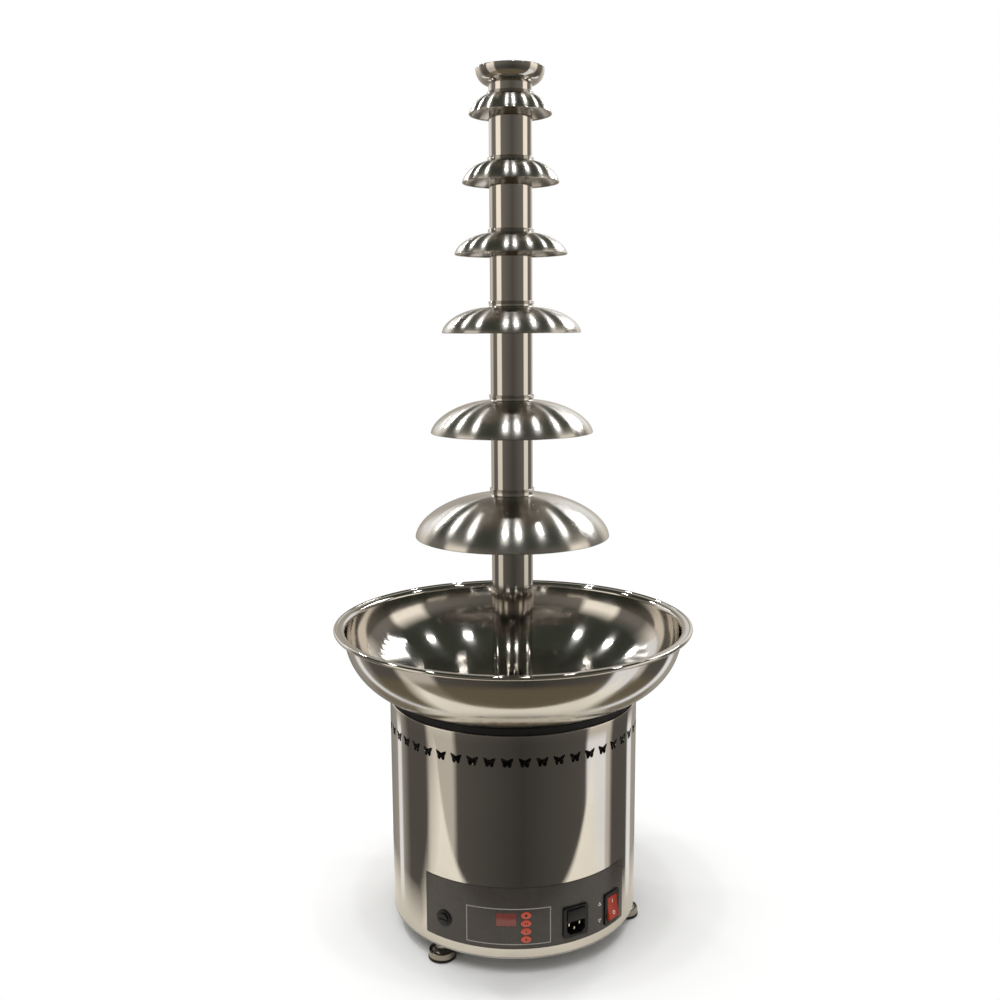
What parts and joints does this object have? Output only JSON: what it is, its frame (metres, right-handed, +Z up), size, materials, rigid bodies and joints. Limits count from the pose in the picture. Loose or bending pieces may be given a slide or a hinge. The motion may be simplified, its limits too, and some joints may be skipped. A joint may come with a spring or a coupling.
{
  "type": "chocolate fountain",
  "caption": "Tall stainless chocolate fountain: heated basin on a drum base with control panel, lift-off tower of shrinking domes on a tube, crown cup and driven auger.",
  "frame": {"origin": "on the floor, below the drum's axis, at the height of the feet's soles", "axes": "+Z up along the tower, -Y out of the control panel's middle"},
  "size_m": [0.439, 0.439, 1.03],
  "materials": {
    "polished_steel": "mirror-polished stainless steel",
    "plain_steel": "plain turned or zinc-plated steel",
    "aluminium": "cast or turned aluminium",
    "motor_paint": "dark enamel",
    "bronze": "plain bearing bronze",
    "contact_brass": "nickel-plated contact brass",
    "black_rubber": "matt black rubber",
    "panel_film": "dark grey-brown semi-gloss panel",
    "black_plastic": "black moulded plastic",
    "red_plastic": "red moulded plastic",
    "window_plastic": "dull red filter window",
    "board": "green circuit board",
    "ceramic_white": "pale moulded thermostat body",
    "insulation": "pale fibre board"
  },
  "bodies": {
    "base": {"bottom_plate": "plain_steel", "bottom_screws": "plain_steel", "wall_brackets": "plain_steel", "housing_shell": "polished_steel", "support_deck": "plain_steel", "top_gasket": "black_rubber", "basin": "polished_steel", "basin_posts": "plain_steel", "heater_ring": "aluminium", "insulation_disc": "insulation", "thermostat": "ceramic_white", "motor_can": "motor_paint", "gearbox": "aluminium", "motor_screws": "plain_steel", "seal_housing": "plain_steel", "shaft_bush": "bronze", "lip_seal": "black_rubber", "control_panel": "panel_film", "display_window": "window_plastic", "display_module": "black_plastic", "control_board": "board", "inlet_housing": "black_plastic", "inlet_pins": "contact_brass", "switch_frame": "black_plastic", "fuse_holder": "black_plastic", "foot_nuts": "plain_steel"},
    "rotor": {"output_shaft": "plain_steel", "drive_coupling": "aluminium", "drive_shaft": "plain_steel", "auger_shaft": "polished_steel", "auger_flight": "polished_steel"},
    "tier_1": {"tube_1": "polished_steel", "dome_1": "polished_steel"},
    "tier_2": {"tube_2": "polished_steel", "dome_2": "polished_steel"},
    "tier_3": {"tube_3": "polished_steel", "dome_3": "polished_steel"},
    "tier_4": {"tube_4": "polished_steel", "dome_4": "polished_steel"},
    "tier_5": {"tube_5": "polished_steel", "dome_5": "polished_steel"},
    "tier_6": {"tube_6": "polished_steel", "dome_6": "polished_steel"},
    "crown_cup": {"crown": "polished_steel"},
    "key_1": {"button_1": "red_plastic"},
    "key_2": {"button_2": "red_plastic"},
    "key_3": {"button_3": "red_plastic"},
    "key_4": {"button_4": "red_plastic"},
    "rocker": {"switch_rocker": "red_plastic"},
    "drawer": {"fuse_drawer": "black_plastic"},
    "fuse_carrier": {"fuse_cap": "black_plastic"},
    "foot_1": {"foot_sole_1": "black_rubber", "foot_pad_1": "polished_steel"},
    "stud_1": {"foot_stud_1": "plain_steel"},
    "foot_2": {"foot_sole_2": "black_rubber", "foot_pad_2": "polished_steel"},
    "stud_2": {"foot_stud_2": "plain_steel"},
    "foot_3": {"foot_sole_3": "black_rubber", "foot_pad_3": "polished_steel"},
    "stud_3": {"foot_stud_3": "plain_steel"}
  },
  "joints": [
    {"name": "auger_spin", "type": "hinge", "parent": "base", "child": "rotor", "pos_m": [0, 0, 0.3], "axis": [0, 0, 1], "continuous": true},
    {"name": "tier_1_lift", "type": "slide", "parent": "base", "child": "tier_1", "axis": [0, 0, 1], "range_m": [0, 0.04]},
    {"name": "tier_2_lift", "type": "slide", "parent": "tier_1", "child": "tier_2", "axis": [0, 0, 1], "range_m": [0, 0.04]},
    {"name": "tier_3_lift", "type": "slide", "parent": "tier_2", "child": "tier_3", "axis": [0, 0, 1], "range_m": [0, 0.04]},
    {"name": "tier_4_lift", "type": "slide", "parent": "tier_3", "child": "tier_4", "axis": [0, 0, 1], "range_m": [0, 0.04]},
    {"name": "tier_5_lift", "type": "slide", "parent": "tier_4", "child": "tier_5", "axis": [0, 0, 1], "range_m": [0, 0.04]},
    {"name": "tier_6_lift", "type": "slide", "parent": "tier_5", "child": "tier_6", "axis": [0, 0, 1], "range_m": [0, 0.04]},
    {"name": "crown_lift", "type": "slide", "parent": "tier_6", "child": "crown_cup", "axis": [0, 0, 1], "range_m": [0, 0.04]},
    {"name": "key_1_press", "type": "slide", "parent": "base", "child": "key_1", "axis": [0.048, 0.9988, 0], "range_m": [0, 0.0006], "stiffness_N_per_m": 800, "springref_m": -0.0006},
    {"name": "key_2_press", "type": "slide", "parent": "base", "child": "key_2", "axis": [0.048, 0.9988, 0], "range_m": [0, 0.0006], "stiffness_N_per_m": 800, "springref_m": -0.0006},
    {"name": "key_3_press", "type": "slide", "parent": "base", "child": "key_3", "axis": [0.048, 0.9988, 0], "range_m": [0, 0.0006], "stiffness_N_per_m": 800, "springref_m": -0.0006},
    {"name": "key_4_press", "type": "slide", "parent": "base", "child": "key_4", "axis": [0.048, 0.9988, 0], "range_m": [0, 0.0006], "stiffness_N_per_m": 800, "springref_m": -0.0006},
    {"name": "rocker_flip", "type": "hinge", "parent": "base", "child": "rocker", "pos_m": [0.09814, -0.1145, 0.057], "axis": [0.7593, 0.6508, 0], "range_deg": [0, 20]},
    {"name": "fuse_drawer_pull", "type": "slide", "parent": "base", "child": "drawer", "axis": [0.3338, -0.9426, 0], "range_m": [0, 0.018]},
    {"name": "fuse_cap_turn", "type": "hinge", "parent": "base", "child": "fuse_carrier", "pos_m": [-0.09592, -0.11533, 0.059], "axis": [-0.6394, -0.7688, 0], "range_deg": [0, 90]},
    {"name": "foot_1_level", "type": "slide", "parent": "base", "child": "foot_1", "axis": [0, 0, -1], "range_m": [-0.003, 0.01]},
    {"name": "foot_1_turn", "type": "hinge", "parent": "foot_1", "child": "stud_1", "pos_m": [-0.10041, -0.10041, 0.02], "axis": [0, 0, -1], "range_deg": [-870, 2890]},
    {"name": "foot_2_level", "type": "slide", "parent": "base", "child": "foot_2", "axis": [0, 0, -1], "range_m": [-0.003, 0.01]},
    {"name": "foot_2_turn", "type": "hinge", "parent": "foot_2", "child": "stud_2", "pos_m": [0.13716, -0.03675, 0.02], "axis": [0, 0, -1], "range_deg": [-870, 2890]},
    {"name": "foot_3_level", "type": "slide", "parent": "base", "child": "foot_3", "axis": [0, 0, -1], "range_m": [-0.003, 0.01]},
    {"name": "foot_3_turn", "type": "hinge", "parent": "foot_3", "child": "stud_3", "pos_m": [-0.03675, 0.13716, 0.02], "axis": [0, 0, -1], "range_deg": [-870, 2890]}
  ],
  "couplings": [
    {"joint": "foot_1_turn", "follows": "foot_1_level", "rad_per_m": 5026.5},
    {"joint": "foot_2_turn", "follows": "foot_2_level", "rad_per_m": 5026.5},
    {"joint": "foot_3_turn", "follows": "foot_3_level", "rad_per_m": 5026.5}
  ]
}
